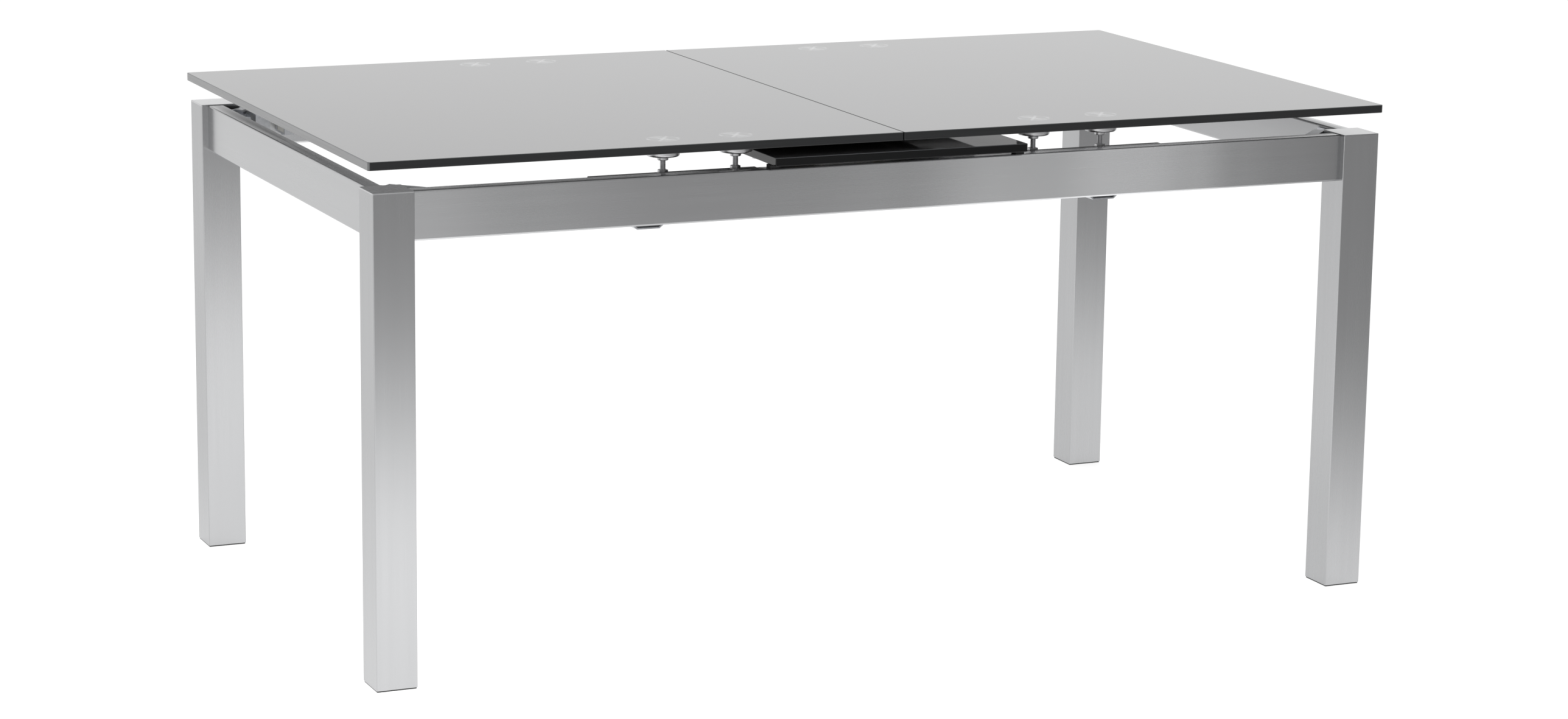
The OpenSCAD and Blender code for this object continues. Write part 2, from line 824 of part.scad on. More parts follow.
// Flat bar across the bearers' ends with an ear down to each follower pin
module lift_ties() {
    reach = pin_x + 9;
    ear_z = pin_z - pin_d / 2 - 2.5;
    color(BLACK) for (s = [0, 1]) mirror([0, s, 0]) difference() {
        union() {
            translate([-reach, tie_y, bearer_z]) cube([2 * reach, tie_t, bearer_t]);
            for (sx = [-1, 1]) translate([sx * pin_x - 8, tie_y, ear_z])
                cube([16, tie_t, bearer_z + 5 - ear_z]);
        }
        for (sx = [-1, 1]) translate([sx * pin_x, tie_y - 1, pin_z]) toward_y()
            cylinder(d = pin_d, h = tie_t + 2);
    }
}

module guide_bushes() {
    color(BRASS) each_corner() translate([bearer_x, guide_y, bearer_z - 22])
        difference() {
            cylinder(d = bush_d, h = bearer_t + 22);
            translate([0, 0, -1]) cylinder(d = guide_d + run, h = bearer_t + 24);
        }
}

module leaf_sleeves() {
    color(BRASS) each_corner() translate([bearer_x, leaf_post_y, bearer_z - 10])
        difference() {
            cylinder(d = sleeve_d, h = bearer_t + 11.9);
            translate([0, 0, -1]) cylinder(d = leaf_post_d + run, h = bearer_t + 14);
        }
}

// Short pins reach the outer plates, long pins reach the inner ones
module follower_pin_pair() {
    translate([pin_x, tie_y, pin_z]) toward_y()
        cylinder(d = pin_d, h = plate_y + plate_t + 1 - tie_y);
    translate([-pin_x, inner_plate_y - 1, pin_z]) toward_y()
        cylinder(d = pin_d, h = tie_y + tie_t - inner_plate_y + 1);
}

module follower_pins() {
    color(STEEL) {
        follower_pin_pair();
        turned() follower_pin_pair();
    }
}

// ---- leaf ----------------------------------------------------------------

module leaf_glass() {
    color(GLASS) translate([0, 0, leaf_z]) linear_extrude(glass_t)
        round_rect(leaf_w, top_w, seam_r);
}

module leaf_posts() {
    disc = 36;
    color(STEEL) each_corner() translate([bearer_x, leaf_post_y, 0]) {
        translate([0, 0, leaf_z - 4]) cylinder(d = disc, h = 4);
        translate([0, 0, bearer_z - 18]) cylinder(d = leaf_post_d, h = leaf_z - 4 - bearer_z + 18);
    }
}

leg_front_left();
leg_front_right();
leg_back_left();
leg_back_right();
leg_caps();
leg_glides();
apron_front();
apron_back();
apron_left();
apron_right();
corner_brace_front_left();
corner_brace_front_right();
corner_brace_back_left();
corner_brace_back_right();
brace_bolts();
hanger_bolts();
rail_front();
rail_back();
rail_screws();
rail_end_stops();
outriggers_left();
outriggers_right();
rail_brackets();
stretcher_front();
stretcher_back();
guide_posts();
leaf_rest_pads();
pinion_pins();
pinion_front();
pinion_back();
glass_left();
glass_discs_left();
studs_left();
jam_nuts_left();
carriage_front_left();
carriage_back_left();
ramp_plates_left();
racks_left();
arm_screws_left();
glass_right();
glass_discs_right();
studs_right();
jam_nuts_right();
carriage_front_right();
carriage_back_right();
ramp_plates_right();
racks_right();
arm_screws_right();
ball_cages_left();
ball_cages_right();
balls_left();
balls_right();
lift_bearer_left();
lift_bearer_right();
lift_ties();
guide_bushes();
leaf_sleeves();
follower_pins();
leaf_glass();
leaf_posts();
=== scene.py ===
"""Looks of the extendable dining table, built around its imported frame."""
import json
import math

import bmesh
import bpy
from mathutils import Matrix, Vector


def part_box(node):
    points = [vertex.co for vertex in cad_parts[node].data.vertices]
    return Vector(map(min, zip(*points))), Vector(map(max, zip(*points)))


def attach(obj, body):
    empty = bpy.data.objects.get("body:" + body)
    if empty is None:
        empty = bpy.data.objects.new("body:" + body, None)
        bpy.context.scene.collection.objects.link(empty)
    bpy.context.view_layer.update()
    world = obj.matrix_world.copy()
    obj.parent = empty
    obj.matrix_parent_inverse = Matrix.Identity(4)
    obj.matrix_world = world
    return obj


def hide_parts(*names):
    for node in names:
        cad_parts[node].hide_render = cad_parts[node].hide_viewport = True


bl_info = {
    "name": "Extendable Dining Table",
    "version": (1, 0, 0),
    "blender": (4, 5, 0),
    "location": "View3D > Sidebar > Table",
    "description": "Glass, brushed steel and fittings of an extendable dining table",
    "category": "Object",
}

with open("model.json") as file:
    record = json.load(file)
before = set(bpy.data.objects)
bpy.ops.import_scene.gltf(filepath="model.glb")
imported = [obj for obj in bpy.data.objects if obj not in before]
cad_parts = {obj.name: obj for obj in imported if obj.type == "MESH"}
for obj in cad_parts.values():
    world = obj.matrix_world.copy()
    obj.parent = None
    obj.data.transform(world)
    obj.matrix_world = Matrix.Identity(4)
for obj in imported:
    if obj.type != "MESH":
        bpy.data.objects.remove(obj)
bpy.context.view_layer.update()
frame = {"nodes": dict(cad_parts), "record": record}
MM = 0.001
SIDES = ("left", "right")
LEGS = tuple(f"leg_{depth}_{side}" for depth in ("front", "back") for side in SIDES)
X, Y, Z = range(3)
EVENLY = (1, 1, 1)
WHITE = (1, 1, 1, 1)
NO_LIGHT = (0, 0, 0, 1)


# ---- settings --------------------------------------------------------------


class TableStageSettings(bpy.types.PropertyGroup):
    """Camera, floor and lamps around the table"""

    camera_place: bpy.props.FloatVectorProperty(
        name="Camera place", description="Where the camera stands", subtype="TRANSLATION",
        unit="LENGTH", default=(-2.447, -5.525, 1.632))
    camera_turn: bpy.props.FloatProperty(
        name="Camera turn", description="Turn of the view from +Y towards +X",
        subtype="ANGLE", default=math.radians(24.044))
    camera_dip: bpy.props.FloatProperty(
        name="Camera dip", description="How far the view looks down",
        subtype="ANGLE", default=math.radians(12.234))
    camera_roll: bpy.props.FloatProperty(
        name="Camera roll", description="Roll of the camera about its view",
        subtype="ANGLE", default=math.radians(0.777))
    lens: bpy.props.FloatProperty(
        name="Lens", description="Focal length for a 36 mm sensor", subtype="DISTANCE_CAMERA",
        default=91.64)
    sky: bpy.props.FloatProperty(
        name="Sky", description="Strength of the surround", default=1.0, min=0.0)
    behind: bpy.props.FloatProperty(
        name="Behind", description="Brightness of the surround behind the table",
        default=1.08, min=0.0)
    overhead: bpy.props.FloatProperty(
        name="Overhead", description="Brightness of the surround straight above",
        default=0.5, min=0.0)
    # The floor's pool, fade and glow below are painted light from its emission
    pool_place: bpy.props.FloatVectorProperty(
        name="Pool place", description="Middle of the bright pool on the floor", size=2,
        subtype="XYZ", unit="LENGTH", default=(-0.7, -0.9))
    fade_start: bpy.props.FloatProperty(
        name="Fade start", description="Middle of the floor's fade, along its slant",
        unit="LENGTH", default=1.75)
    fade_width: bpy.props.FloatProperty(
        name="Fade width", description="Half the width of the floor's fade",
        unit="LENGTH", default=1.1)
    floor_far: bpy.props.FloatProperty(
        name="Far floor", description="Glow of the floor in front, past the fade",
        default=0.16, min=0.0)
    floor_back: bpy.props.FloatProperty(
        name="Back floor", description="Glow that the lit floor adds", default=0.66, min=0.0)
    floor_pool: bpy.props.FloatProperty(
        name="Floor pool", description="Glow that the floor near the legs adds",
        default=0.36, min=0.0)
    floor_size: bpy.props.FloatProperty(
        name="Floor size", description="Side of the square floor", unit="LENGTH", default=60.0)


class TableFinishSettings(bpy.types.PropertyGroup):
    """Colours of the table's materials"""

    steel: bpy.props.FloatVectorProperty(
        name="Stainless steel", description="Colour of legs and aprons", subtype="COLOR",
        default=(0.50, 0.503, 0.51))
    zinc: bpy.props.FloatVectorProperty(
        name="Zinc plating", description="Colour of braces and brackets", subtype="COLOR",
        default=(0.50, 0.51, 0.53))
    glass: bpy.props.FloatVectorProperty(
        name="Tinted glass", description="Colour of the glass under its gloss",
        subtype="COLOR", default=(0.098, 0.099, 0.101))
    glass_edge: bpy.props.FloatVectorProperty(
        name="Glass edge", description="Colour of the polished long edges", subtype="COLOR",
        default=(0.020, 0.021, 0.022))
    # A lighter copy of the edge glass: painted light coming through the pane ends
    glass_end_lit: bpy.props.FloatVectorProperty(
        name="Glass end", description="Colour of the polished end edges", subtype="COLOR",
        default=(0.17, 0.172, 0.175))
    fittings: bpy.props.FloatVectorProperty(
        name="Turned steel", description="Colour of the stand-offs and pins",
        subtype="COLOR", default=(0.72, 0.72, 0.73))
    black: bpy.props.FloatVectorProperty(
        name="Black coat", description="Colour of the coated slides", subtype="COLOR",
        default=(0.018, 0.018, 0.019))
    bronze: bpy.props.FloatVectorProperty(
        name="Bronze", description="Colour of pinions, racks and bushes", subtype="COLOR",
        default=(0.50, 0.36, 0.18))
    rubber: bpy.props.FloatVectorProperty(
        name="Rubber", description="Colour of pads and glides", subtype="COLOR",
        default=(0.022, 0.022, 0.022))
    nylon: bpy.props.FloatVectorProperty(
        name="Nylon", description="Colour of the ball cages", subtype="COLOR",
        default=(0.62, 0.61, 0.57))


class TablePieceSettings(bpy.types.PropertyGroup):
    """Sizes of the details that the frame leaves open"""

    edge_polish: bpy.props.FloatProperty(
        name="Edge polish", description="Width of the chamfer round every glass edge",
        unit="LENGTH", default=0.8 * MM)
    pane_corner: bpy.props.FloatProperty(
        name="Pane corner", description="Radius of the top's outer corners", unit="LENGTH",
        default=4 * MM)
    seam_corner: bpy.props.FloatProperty(
        name="Seam corner", description="Radius of the corners where panes meet",
        unit="LENGTH", default=1.5 * MM)
    leg_edge: bpy.props.FloatProperty(
        name="Leg edge", description="Edge radius of the leg tubes", unit="LENGTH",
        default=1.5 * MM)
    apron_edge: bpy.props.FloatProperty(
        name="Apron edge", description="Edge radius of the apron tubes", unit="LENGTH",
        default=3 * MM)
    cap_edge: bpy.props.FloatProperty(
        name="Cap edge", description="Eased edge of the leg caps", unit="LENGTH",
        default=0.5 * MM)
    disc_height: bpy.props.FloatProperty(
        name="Disc height", description="Height of a stand-off disc above its boss",
        unit="LENGTH", default=12 * MM)
    boss_radius: bpy.props.FloatProperty(
        name="Boss radius", description="Radius of a stand-off's boss", unit="LENGTH",
        default=8 * MM)
    thread_pitch: bpy.props.FloatProperty(
        name="Thread pitch", description="Pitch of the studs' thread", unit="LENGTH",
        default=1.25 * MM)


# ---- shader expressions ----------------------------------------------------


class Flow:
    """A socket of a material, with arithmetic that adds its Math nodes."""

    def __init__(self, recipe, socket):
        self.recipe = recipe
        self.socket = socket

    def math(self, operation, *others):
        inputs = dict(enumerate((self, *others)))
        return self.recipe.add("ShaderNodeMath", {"operation": operation}, inputs)

    def __add__(self, other):
        return self.math("ADD", other)

    __radd__ = __add__

    def __mul__(self, other):
        return self.math("MULTIPLY", other)

    __rmul__ = __mul__

    def __sub__(self, other):
        return self.math("SUBTRACT", other)

    def __rsub__(self, other):
        return self.recipe.add(
            "ShaderNodeMath", {"operation": "SUBTRACT"}, {0: other, 1: self})

    def __truediv__(self, other):
        return self.math("DIVIDE", other)

    def __pow__(self, other):
        return self.math("POWER", other)

    def __abs__(self):
        return self.math("ABSOLUTE")

    def below(self, limit, soft):
        """1 where the value is under limit, fading to 0 over soft."""
        ramp = {"interpolation_type": "SMOOTHSTEP"}
        return self.recipe.add("ShaderNodeMapRange", ramp, {
            "Value": self, "From Min": limit - soft, "From Max": limit + soft,
            "To Min": 1.0, "To Max": 0.0})


class Recipe:
    """A node tree: every node comes from add."""

    def __init__(self, tree):
        self.tree = tree

    def add(self, kind, settings=None, inputs=None, output=0):
        node = self.tree.nodes.new(kind)
        for key, value in (settings or {}).items():
            setattr(node, key, value)
        for key, value in (inputs or {}).items():
            self.feed(node.inputs[key], value)
        return Flow(self, node.outputs[output])

    def feed(self, socket, value):
        if isinstance(value, Flow):
            self.tree.links.new(value.socket, socket)
        else:
            socket.default_value = value

    def split(self, vector):
        """The three parts of a vector."""
        first = self.add("ShaderNodeSeparateXYZ", None, {0: vector})
        outputs = first.socket.node.outputs
        return first, Flow(self, outputs[Y]), Flow(self, outputs[Z])

    def ramp(self, value, stops):
        """A grey value that follows stops of (position, grey)."""
        node = self.tree.nodes.new("ShaderNodeValToRGB")
        node.color_ramp.interpolation = "EASE"
        elements = node.color_ramp.elements
        while len(elements) < len(stops):
            elements.new(0.5)
        for element, (position, grey) in zip(elements, stops):
            element.position = position
            element.color = (grey, grey, grey, 1.0)
        self.feed(node.inputs["Fac"], value)
        return Flow(self, node.outputs["Color"])

    def mix(self, factor, low, high):
        return self.add("ShaderNodeMix", {"data_type": "RGBA"},
                        {0: factor, 6: low, 7: high}, 2)


class Finish(Recipe):
    """One material; shade sets the sockets of its own shader."""

    def __init__(self, name):
        self.material = bpy.data.materials.new(name)
        self.material.use_nodes = True
        super().__init__(self.material.node_tree)
        self.shader = self.tree.nodes["Principled BSDF"]
        self.place = self.add("ShaderNodeTexCoord", output="Object")

    def shade(self, **sockets):
        for key, value in sockets.items():
            name = key.replace("_", " ").title().replace("Ior", "IOR")
            self.feed(self.shader.inputs[name], value)

    def noise(self, scale, stretch=EVENLY, detail=2.0, rough=0.5):
        """Noise from 0 to 1 on object coordinates, stretched along the axes."""
        at = self.add("ShaderNodeMapping", {"vector_type": "POINT"},
                      {"Vector": self.place, "Scale": stretch})
        return self.add("ShaderNodeTexNoise", None, {
            "Vector": at, "Scale": scale, "Detail": detail, "Roughness": rough}, "Fac")

    def bump(self, height, depth, strength=1.0):
        return self.add("ShaderNodeBump", None, {
            "Height": height, "Distance": depth, "Strength": strength}, "Normal")


def tint(colour, factor):
    """A colour made lighter or darker, with its alpha."""
    return (*(min(1.0, c * factor) for c in colour), 1.0)


# ---- mesh tools ------------------------------------------------------------


def block(bm, low, high):
    """A box between two corners; returns its faces."""
    low, high = Vector(low), Vector(high)
    size = Matrix.Diagonal((*(high - low), 1.0))
    place = Matrix.Translation((low + high) / 2) @ size
    made = bmesh.ops.create_cube(bm, size=1.0, matrix=place)
    return {f for v in made["verts"] for f in v.link_faces}


def edges_along(faces, axis):
    """The edges of some faces that run along one axis."""
    edges = {e for f in faces for e in f.edges}
    return [e for e in edges
            if abs((e.verts[1].co - e.verts[0].co).normalized()[axis]) > 0.99]


def round_edges(bm, edges, width, segments):
    bmesh.ops.bevel(
        bm, geom=list(edges), offset=width, offset_type="OFFSET", segments=segments,
        profile=0.5, affect="EDGES", material=-1, clamp_overlap=True)


def rim_edges(bm, axis, values, slack=1e-5):
    """The edges that lie wholly in one of the planes axis = value."""
    return [e for e in bm.edges
            if any(all(abs(v.co[axis] - value) < slack for v in e.verts) for value in values)]


def graft(bm, shape, place):
    """Puts a finished shape in its place and adds it to a larger one."""
    bmesh.ops.transform(shape, matrix=place, verts=shape.verts[:])
    mesh = bpy.data.meshes.new("graft")
    shape.to_mesh(mesh)
    shape.free()
    bm.from_mesh(mesh)
    bpy.data.meshes.remove(mesh)


def lathe(bm, outline, place, steps=48):
    """Spins an outline of (radius, height) round Z."""
    shape = bmesh.new()
    verts = [shape.verts.new((r, 0.0, h)) for r, h in outline]
    edges = [shape.edges.new(pair) for pair in zip(verts, verts[1:])]
    bmesh.ops.spin(shape, geom=verts + edges, cent=(0, 0, 0), axis=(0, 0, 1),
                   angle=math.tau, steps=steps, use_merge=True)
    bmesh.ops.remove_doubles(shape, verts=shape.verts[:], dist=1e-6)
    bmesh.ops.recalc_face_normals(shape, faces=shape.faces[:])
    graft(bm, shape, place)


def hexagon(bm, across, height, place, ease):
    """A hexagon bar with eased ends, standing on its place."""
    shape = bmesh.new()
    radius = across / 2 / math.cos(math.pi / 6)
    bmesh.ops.create_cone(
        shape, cap_ends=True, segments=6, radius1=radius, radius2=radius,
        depth=height, matrix=Matrix.Translation((0, 0, height / 2)))
    round_edges(shape, rim_edges(shape, Z, (0.0, height)), ease, 2)
    graft(bm, shape, place)


def islands(node):
    """(low, high) corners of every separate solid in a CAD node."""
    bm = bmesh.new()
    bm.from_mesh(frame["nodes"][node].data)
    bmesh.ops.remove_doubles(bm, verts=bm.verts[:], dist=1e-6)
    boxes = []
    unseen = set(bm.verts)
    while unseen:
        group = [unseen.pop()]
        for v in group:
            for e in v.link_edges:
                other = e.other_vert(v)
                if other in unseen:
                    unseen.remove(other)
                    group.append(other)
        low = Vector(min(v.co[i] for v in group) for i in range(3))
        high = Vector(max(v.co[i] for v in group) for i in range(3))
        boxes.append((low, high))
    bm.free()
    return sorted(boxes, key=lambda pair: tuple(round(c, 5) for c in pair[0]))


def finish_piece(name, bm, body, finishes, replaced, angle=35.0):
    """Makes a mesh piece that rides on a body and stands for CAD nodes."""
    bmesh.ops.recalc_face_normals(bm, faces=bm.faces[:])
    mesh = bpy.data.meshes.new(name)
    bm.to_mesh(mesh)
    bm.free()
    mesh.shade_smooth()
    mesh.set_sharp_from_angle(angle=math.radians(angle))
    mesh.validate()
    for finish in finishes:
        mesh.materials.append(bpy.data.materials[finish])
    piece = bpy.data.objects.new(name, mesh)
    bpy.context.scene.collection.objects.link(piece)
    even = piece.modifiers.new("flat faces", "WEIGHTED_NORMAL")
    even.weight = 100
    even.keep_sharp = True
    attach(piece, body)
    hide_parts(*replaced)


def along(direction, at):
    """Places a shape made along +Z so that it points along a direction from a point."""
    turn = Vector((0, 0, 1)).rotation_difference(Vector(direction)).to_matrix().to_4x4()
    return Matrix.Translation(at) @ turn


# ---- finishes --------------------------------------------------------------

# Painted reflection bands along the long aprons, as brighter and darker steel: (place, tone)
PAINTED_REFLECTION_BANDS = ((0.14, 0.35), (0.22, 0.15), (0.32, 0.06), (0.42, 0.10), (0.50, 0.22), (0.58, 0.68),
          (0.62, 0.70), (0.67, 0.98), (0.70, 0.96), (0.74, 0.71), (0.78, 0.30), (0.82, 0.16),
          (0.88, 0.03))
# Painted shade: how far the faces that look along X are darkened
SIDE_SHADE = 0.15
GLASS_IOR = 1.52


def brushed_steel(name, colour, grain):
    """Brushed stainless steel with its grain along one axis.

    The faces that look along X get painted shade, darker than the others.
    """
    r = Finish(name)
    fine = [1.0, 1.0, 1.0]
    fine[grain] = 0.006
    broad = [1.0, 1.0, 1.0]
    broad[grain] = 0.02
    hair = r.noise(1400.0, fine, 3.0, 0.65)
    streak = r.noise(110.0, broad)
    cloud = r.noise(3.2)
    tone = hair * 0.35 + streak * 0.30 + cloud * 0.35
    darkest, lightest = 0.90, 1.10
    if grain == X:
        # Steel with its grain along X carries painted reflection bands, brighter and darker
        # along X
        x, _, _ = r.split(r.place)
        reflection_bands = r.ramp(x * 0.5 + 0.5, PAINTED_REFLECTION_BANDS)
        tone = tone * 0.2 + reflection_bands * 0.8
        darkest, lightest = 0.70, 1.90
    # Faces that look along X are mixed towards black as painted shade
    lean, _, _ = r.split(r.add("ShaderNodeNewGeometry", output="Normal"))
    face = r.mix(tone, tint(colour, darkest), tint(colour, lightest))
    r.shade(base_color=r.mix(abs(lean) * SIDE_SHADE, face, NO_LIGHT), metallic=1.0,
            anisotropic=0.75, anisotropic_rotation=0.0 if grain == Z else 0.25,
            roughness=0.235 + 0.03 * hair + 0.04 * cloud,
            normal=r.bump(hair * 0.6 + streak * 0.4, 0.0001, 0.12))


def plated_steel(name, colour):
    r = Finish(name)
    spangle = r.add("ShaderNodeTexVoronoi", {"feature": "F1"},
                    {"Vector": r.place, "Scale": 260.0}, "Color")
    patch = r.add("ShaderNodeSeparateColor", None, {0: spangle})
    grime = r.noise(24.0, EVENLY, 4.0, 0.6)
    tone = patch * 0.35 + grime * 0.65
    r.shade(base_color=r.mix(tone, tint(colour, 0.82), tint(colour, 1.15)), metallic=1.0,
            roughness=0.30 + 0.16 * grime, normal=r.bump(grime + patch * 0.2, 0.0001, 0.2))


def turned_steel(name, colour):
    """Lathe-turned stainless steel with fine rings round Z."""
    r = Finish(name)
    rings = r.noise(2600.0, (0.02, 0.02, 1.0))
    wear = r.noise(60.0, EVENLY, 3.0)
    r.shade(base_color=r.mix(wear, tint(colour, 0.90), tint(colour, 1.10)), metallic=1.0,
            roughness=0.26 + 0.12 * rings + 0.06 * wear,
            normal=r.bump(rings, 0.00006, 0.3))


def black_coat(name, colour):
    r = Finish(name)
    peel = r.noise(900.0)
    dust = r.noise(14.0, EVENLY, 4.0, 0.65)
    r.shade(base_color=r.mix(dust, tint(colour, 0.8), tint(colour, 2.0)),
            roughness=0.40 + 0.18 * dust, normal=r.bump(peel, 0.0001, 0.3))


def black_extrusion(name, colour):
    """Anodised aluminium with die lines along X."""
    r = Finish(name)
    lines = r.noise(1100.0, (0.01, 1, 1))
    r.shade(base_color=r.mix(lines, tint(colour, 0.9), tint(colour, 1.9)), metallic=0.7,
            roughness=0.30 + 0.12 * lines, normal=r.bump(lines, 0.00008, 0.3))


def machined_bronze(name, colour):
    r = Finish(name)
    cut = r.noise(700.0, (1, 1, 0.1))
    stain = r.noise(45.0, EVENLY, 4.0, 0.6)
    r.shade(base_color=r.mix(stain, tint(colour, 0.65), tint(colour, 1.15)), metallic=1.0,
            roughness=0.25 + 0.2 * stain, normal=r.bump(cut, 0.00008, 0.3))


def soft_polymer(name, colour, gloss):
    r = Finish(name)
    grain = r.noise(1600.0)
    scuff = r.noise(35.0, EVENLY, 4.0, 0.65)
    r.shade(base_color=r.mix(scuff, tint(colour, 0.85), tint(colour, 1.25)),
            roughness=gloss + 0.15 * scuff, normal=r.bump(grain, 0.00012, 0.4))


def disc_marks(r):
    """Ring, dots, cross and band of the bonded discs, seen through the glass."""
    left = islands("glass_discs_left")
    centres = sorted({round(abs(low.x + high.x) / 2, 4) for low, high in left})
    row = abs(left[0][0].y + left[0][1].y) / 2
    radius = (left[0][1].x - left[0][0].x) / 2
    between = sum(centres) / 2
    half_gap = centres[1] - between
    rim = radius * 0.94
    x, y, _ = r.split(r.place)
    x = abs(abs(abs(x) - between) - half_gap)
    y = abs(abs(y) - row)
    reach = (x * x + y * y) ** 0.5
    ring = abs(reach - rim).below(0.0009, 0.0005)
    aside = x - rim
    dots = ((aside * aside + y * y * 0.6) ** 0.5).below(0.0030, 0.0012)
    strokes = abs(x - y * 0.7).below(0.0026, 0.0018) * reach.below(radius * 0.90, 0.003)
    pad = reach.below(radius, 0.001)
    band = x.below(radius * 0.22, 0.002) * pad
    return ring * 0.22 + dots * 0.35 + strokes * 0.50 + band * 0.18 + pad * 0.10


def tinted_glass(name, colour, marks):
    r = Finish(name)
    haze = r.noise(5.0, EVENLY, 3.0)
    smear = r.noise(32.0, (1, 0.4, 1))
    tone = r.mix(haze, tint(colour, 0.97), tint(colour, 1.03))
    if marks:
        tone = r.mix(disc_marks(r), tone, tint(colour, 4.6))
    r.shade(base_color=tone, roughness=0.018 + 0.02 * smear, ior=GLASS_IOR)


def polished_glass(name, colour, gloss, shine=0.5):
    """The edge of a pane: fine wheel marks along it, polished or left ground."""
    r = Finish(name)
    bands = r.noise(300.0, (0.02, 0.02, 1), 1.0)
    r.shade(base_color=r.mix(bands, tint(colour, 0.80), tint(colour, 1.25)),
            roughness=gloss + 0.04 * bands, ior=GLASS_IOR, specular_ior_level=shine)


class TABLE_OT_finishes(bpy.types.Operator):
    """Makes the table's materials and gives one to every CAD node"""

    bl_idname = "table.finishes"
    bl_label = "Finishes"

    def execute(self, context):
        own = context.scene.table_finish
        brushed_steel("steel_up", own.steel, Z)
        brushed_steel("steel_long", own.steel, X)
        brushed_steel("steel_across", own.steel, Y)
        plated_steel("zinc_plate", own.zinc)
        turned_steel("turned_steel", own.fittings)
        black_coat("black_coat", own.black)
        black_extrusion("black_extrusion", own.black)
        machined_bronze("machined_bronze", own.bronze)
        soft_polymer("rubber", own.rubber, 0.6)
        soft_polymer("nylon", own.nylon, 0.42)
        tinted_glass("table_glass", own.glass, True)
        tinted_glass("leaf_glass", own.glass, False)
        polished_glass("glass_edge", own.glass_edge, 0.05)
        # The stored leaf's edge: a darker, duller copy of the edge glass, as painted shade
        # under the top
        polished_glass("leaf_edge_shaded", tuple(c * 0.25 for c in own.glass_edge), 0.05, 0.28)
        # The pane ends take a lighter copy of the edge glass as painted light through the
        # glass
        polished_glass("glass_end_lit", own.glass_end_lit, 0.08)
        # Upward chamfers take a lighter copy of the edge glass as painted highlight lines
        polished_glass("glass_arris_highlight", tuple(c * 5.0 for c in own.glass_edge), 0.25)
        by_slot = {
            "brushed_stainless": "steel_up", "zinc_plated_steel": "zinc_plate",
            "polished_stainless": "turned_steel", "black_polymer": "rubber",
            "black_steel": "black_coat", "black_aluminium": "black_extrusion",
            "dark_glass": "table_glass", "bronze": "machined_bronze",
            "cage_polymer": "nylon"}
        special = {"apron_front": "steel_long", "apron_back": "steel_long",
                   "apron_left": "steel_across", "apron_right": "steel_across",
                   "leaf_glass": "leaf_glass"}
        for part in frame["record"]["subparts"]:
            node = part["node"]
            finish = special.get(node, by_slot[part["material_slot"]])
            for slot in frame["nodes"][node].material_slots:
                slot.material = bpy.data.materials[finish]
        return {"FINISHED"}


# ---- pieces ----------------------------------------------------------------


class TABLE_OT_glass(bpy.types.Operator):
    """Builds the two halves of the top and the stored leaf"""

    bl_idname = "table.glass"
    bl_label = "Glass panes"

    def pane(self, name, body, finish, edge, own):
        """A pane with polished edges; its outer corners are rounder than its seam's."""
        is_half = name != "leaf_glass"
        low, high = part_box(name)
        bm = bmesh.new()
        uprights = edges_along(block(bm, low, high), Z)
        end = max(abs(low.x), abs(high.x))
        outer = [e for e in uprights if is_half and abs(abs(e.verts[0].co.x) - end) < MM]
        inner = [e for e in uprights if e not in outer]
        for edges, radius in ((inner, own.seam_corner), (outer, own.pane_corner)):
            if edges:
                round_edges(bm, edges, radius, 8)
        round_edges(bm, rim_edges(bm, Z, (low.z, high.z)), own.edge_polish, 3)
        bm.normal_update()
        long_edge, lit_end_edge, highlight_arris = 1, 2, 3
        for face in bm.faces:
            level = abs(face.normal.z)
            at_end = abs(face.calc_center_median().x) > end / 2
            across = abs(face.normal.x) > 0.35
            if level < 0.2:
                # End faces of the halves take the lighter end glass: painted light through the
                # ends
                face.material_index = lit_end_edge if across and at_end else long_edge
            elif level < 0.95:
                # Chamfers at the seam and underneath take the dark edge as painted shade; the
                # other chamfers take the lighter copy as painted highlight lines
                dark = (across and not at_end) or face.normal.z < 0
                face.material_index = long_edge if dark else highlight_arris
        finish_piece(f"{name}_pane", bm, body,
                     (finish, edge, "glass_end_lit" if is_half else edge, "glass_arris_highlight"), [name])

    def execute(self, context):
        own = context.scene.table_piece
        self.pane("glass_left", "left_half", "table_glass", "glass_edge", own)
        self.pane("glass_right", "right_half", "table_glass", "glass_edge", own)
        self.pane("leaf_glass", "leaf", "leaf_glass", "leaf_edge_shaded", own)
        return {"FINISHED"}


class TABLE_OT_legs(bpy.types.Operator):
    """Builds the four leg tubes and their welded caps"""

    bl_idname = "table.legs"
    bl_label = "Legs"

    def execute(self, context):
        own = context.scene.table_piece
        for name in LEGS:
            low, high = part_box(name)
            bm = bmesh.new()
            faces = block(bm, low, high)
            round_edges(bm, edges_along(faces, Z), own.leg_edge, 5)
            finish_piece(f"{name}_tube", bm, "frame", ("steel_up",),
                         [name], 50.0)
        bm = bmesh.new()
        for low, high in islands("leg_caps"):
            faces = block(bm, low, high)
            round_edges(bm, edges_along(faces, Z), own.leg_edge, 5)
        tops = rim_edges(bm, Z, (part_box("leg_caps")[1].z,))
        round_edges(bm, tops, own.cap_edge, 3)
        finish_piece("leg_cap_plates", bm, "frame", ("steel_long",),
                     ["leg_caps"], 50.0)
        return {"FINISHED"}


class TABLE_OT_aprons(bpy.types.Operator):
    """Builds the four apron tubes with rounded long edges"""

    bl_idname = "table.aprons"
    bl_label = "Aprons"

    def execute(self, context):
        own = context.scene.table_piece
        for side, axis in (("front", X), ("back", X), ("left", Y), ("right", Y)):
            name = f"apron_{side}"
            low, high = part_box(name)
            bm = bmesh.new()
            faces = block(bm, low, high)
            round_edges(bm, edges_along(faces, axis), own.apron_edge, 5)
            finish = "steel_across" if axis == Y else "steel_long"
            finish_piece(f"{name}_tube", bm, "frame", (finish,),
                         [name], 50.0)
        return {"FINISHED"}


